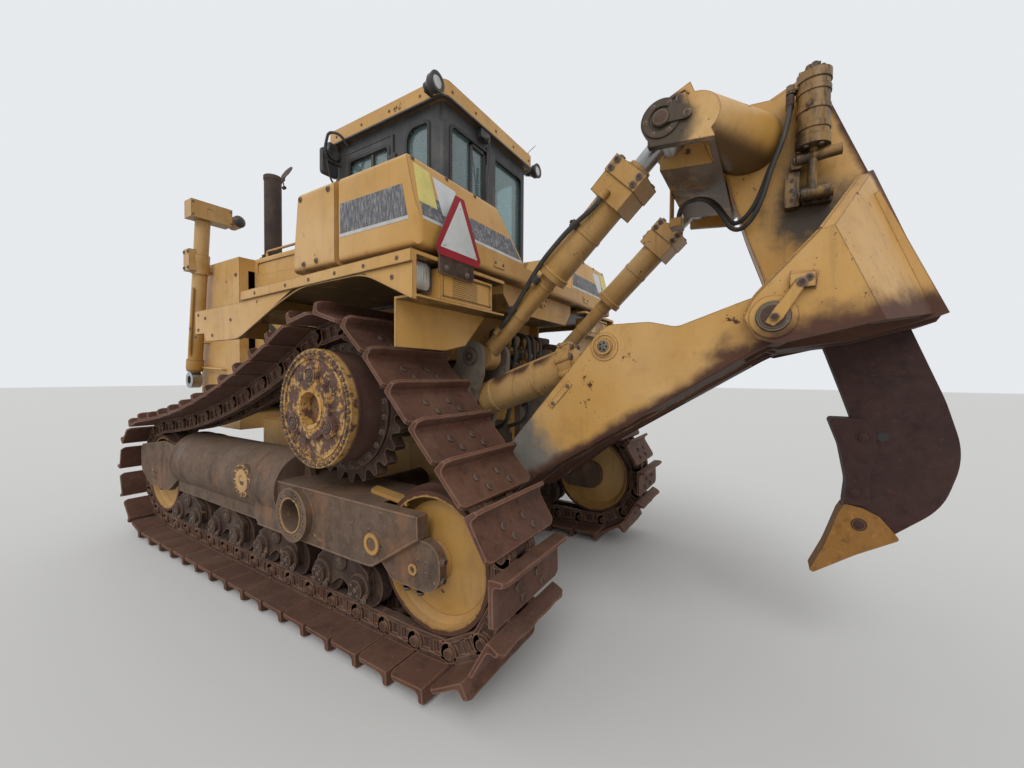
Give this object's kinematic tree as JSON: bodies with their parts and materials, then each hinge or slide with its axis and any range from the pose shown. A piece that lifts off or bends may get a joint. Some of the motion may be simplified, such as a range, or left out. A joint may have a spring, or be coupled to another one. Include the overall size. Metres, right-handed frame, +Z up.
{
  "type": "crawler tractor with rear ripper",
  "caption": "Large high-drive crawler tractor with cab, blade lift cylinders without a blade, and a single shank parallelogram ripper.",
  "frame": {"origin": "ground under the middle of the whole machine", "axes": "+X to the machine's left, +Y to its rear, +Z up"},
  "size_m": [2.884, 6.4034, 3.9176],
  "materials": {
    "yellow_paint": "worn yellow paint with rust and dirt",
    "dark_paint": "charcoal paint",
    "track_steel": "rusty brown steel",
    "frame_steel": "worn brown steel with scraped paint",
    "bare_steel": "bare worn steel",
    "chrome_rod": "dull chrome",
    "cab_glass": "clear tinted glass",
    "lamp_glass": "clear lens in a dark case",
    "seat_cloth": "dark seat cloth",
    "plastic_black": "black plastic",
    "plate_white": "white plate with a red edge"
  },
  "bodies": {
    "tractor": {"belly_guard": "frame_steel", "cab_base": "yellow_paint", "cab_glass": "cab_glass", "cab_lamps": "lamp_glass", "cab_roof": "yellow_paint", "cab_shell": "dark_paint", "console": "plastic_black", "engine_block": "yellow_paint", "engine_side_panels": "yellow_paint", "equalizer_bar": "frame_steel", "exhaust_stack": "frame_steel", "fenders": "yellow_paint", "final_drive_hubs": "yellow_paint", "fuel_tank": "yellow_paint", "hood": "yellow_paint", "idlers": "yellow_paint", "main_frame": "yellow_paint", "pivot_shaft": "frame_steel", "radiator_grille": "dark_paint", "radiator_guard": "yellow_paint", "rear_lamps": "lamp_glass", "rear_panels": "yellow_paint", "ripper_mount": "bare_steel", "ripper_valve": "yellow_paint", "roller_bogies": "frame_steel", "seat": "seat_cloth", "side_boxes": "yellow_paint", "sprockets": "track_steel", "track_frames": "frame_steel", "track_left": "track_steel", "track_right": "track_steel", "track_rollers": "frame_steel", "vehicle_plate": "plate_white"},
    "lower_links": {"lower_links": "yellow_paint"},
    "link_pins": {"link_pins": "bare_steel"},
    "carriage": {"ripper_carriage": "yellow_paint", "ripper_shank": "track_steel", "shank_protector": "track_steel", "ripper_tip": "yellow_paint", "pin_puller": "yellow_paint", "puller_hose_upper": "plastic_black", "puller_hose_lower": "plastic_black"},
    "pitch_pins": {"pitch_base_pins": "bare_steel"},
    "pitch_barrels": {"pitch_barrels": "yellow_paint", "pitch_hoses": "plastic_black"},
    "pitch_rods": {"pitch_rods": "chrome_rod"},
    "lift_barrels": {"lift_barrels": "yellow_paint"},
    "lift_rods": {"lift_rods": "chrome_rod"},
    "cab_door_left": {"door_left": "dark_paint"},
    "cab_door_right": {"door_right": "dark_paint"},
    "rain_cap": {"rain_cap": "frame_steel"},
    "blade_barrel_left": {"blade_barrel_left": "yellow_paint"},
    "blade_rod_left": {"blade_rod_left": "chrome_rod"},
    "blade_barrel_right": {"blade_barrel_right": "yellow_paint"},
    "blade_rod_right": {"blade_rod_right": "chrome_rod"}
  },
  "joints": [
    {"name": "ripper_lift", "type": "hinge", "parent": "tractor", "child": "lower_links", "pos_m": [0, 0.82, 0.74], "axis": [1, 0, 0], "range_deg": [-45, 12]},
    {"name": "carriage_pin_turn", "type": "hinge", "parent": "lower_links", "child": "link_pins", "pos_m": [0, 2.435, 1.805], "axis": [1, 0, 0], "range_deg": [-9.23, 34.48]},
    {"name": "ripper_pitch", "type": "hinge", "parent": "link_pins", "child": "carriage", "pos_m": [0, 2.435, 1.805], "axis": [-1, 0, 0], "range_deg": [0, 18]},
    {"name": "pitch_pin_turn", "type": "hinge", "parent": "tractor", "child": "pitch_pins", "pos_m": [0, 0.785, 1.676], "axis": [1, 0, 0], "range_deg": [-49.77, 13.31]},
    {"name": "pitch_barrel_swing", "type": "hinge", "parent": "pitch_pins", "child": "pitch_barrels", "pos_m": [0, 0.785, 1.676], "axis": [1, 0, 0], "range_deg": [-2.88, 0.05]},
    {"name": "pitch_rod_slide", "type": "slide", "parent": "pitch_barrels", "child": "pitch_rods", "axis": [0, 0.715, 0.6991], "range_m": [-0.001, 0.3422]},
    {"name": "lift_barrel_swing", "type": "hinge", "parent": "tractor", "child": "lift_barrels", "pos_m": [0, 0.702, 1.36], "axis": [1, 0, 0], "range_deg": [-42.33, 11.32]},
    {"name": "lift_rod_slide", "type": "slide", "parent": "lift_barrels", "child": "lift_rods", "axis": [0, 0.9442, 0.3293], "range_m": [-0.1277, 0.476]},
    {"name": "door_left_hinge", "type": "hinge", "parent": "tractor", "child": "cab_door_left", "pos_m": [0.5923, -0.023, 2.8], "axis": [0, 0, 1], "range_deg": [0, 85]},
    {"name": "door_right_hinge", "type": "hinge", "parent": "tractor", "child": "cab_door_right", "pos_m": [-0.5923, -0.023, 2.8], "axis": [0, 0, -1], "range_deg": [0, 85]},
    {"name": "rain_cap_hinge", "type": "hinge", "parent": "tractor", "child": "rain_cap", "pos_m": [0.222, -2.25, 3.739], "axis": [0, 1, 0], "range_deg": [-5, 116]},
    {"name": "blade_cylinder_left_swing", "type": "hinge", "parent": "tractor", "child": "blade_barrel_left", "pos_m": [0.762, -2.935, 2.71], "axis": [1, 0, 0], "range_deg": [-20, 5]},
    {"name": "blade_cylinder_left_slide", "type": "slide", "parent": "blade_barrel_left", "child": "blade_rod_left", "axis": [0, -0.1465, -0.9892], "range_m": [0, 1.15]},
    {"name": "blade_cylinder_right_swing", "type": "hinge", "parent": "tractor", "child": "blade_barrel_right", "pos_m": [-0.762, -2.935, 2.71], "axis": [1, 0, 0], "range_deg": [-20, 5]},
    {"name": "blade_cylinder_right_slide", "type": "slide", "parent": "blade_barrel_right", "child": "blade_rod_right", "axis": [0, -0.1465, -0.9892], "range_m": [0, 1.15]}
  ],
  "couplings": [
    {"joint": "carriage_pin_turn", "follows": "ripper_lift", "ratio": -0.7652},
    {"joint": "pitch_pin_turn", "follows": "ripper_lift", "ratio": 1.105},
    {"joint": "lift_barrel_swing", "follows": "ripper_lift", "ratio": 0.9395},
    {"joint": "lift_rod_slide", "follows": "ripper_lift", "m_per_rad": -0.6048},
    {"joint": "pitch_barrel_swing", "follows": "ripper_pitch", "ratio": -0.157},
    {"joint": "pitch_rod_slide", "follows": "ripper_pitch", "m_per_rad": 1.086}
  ]
}
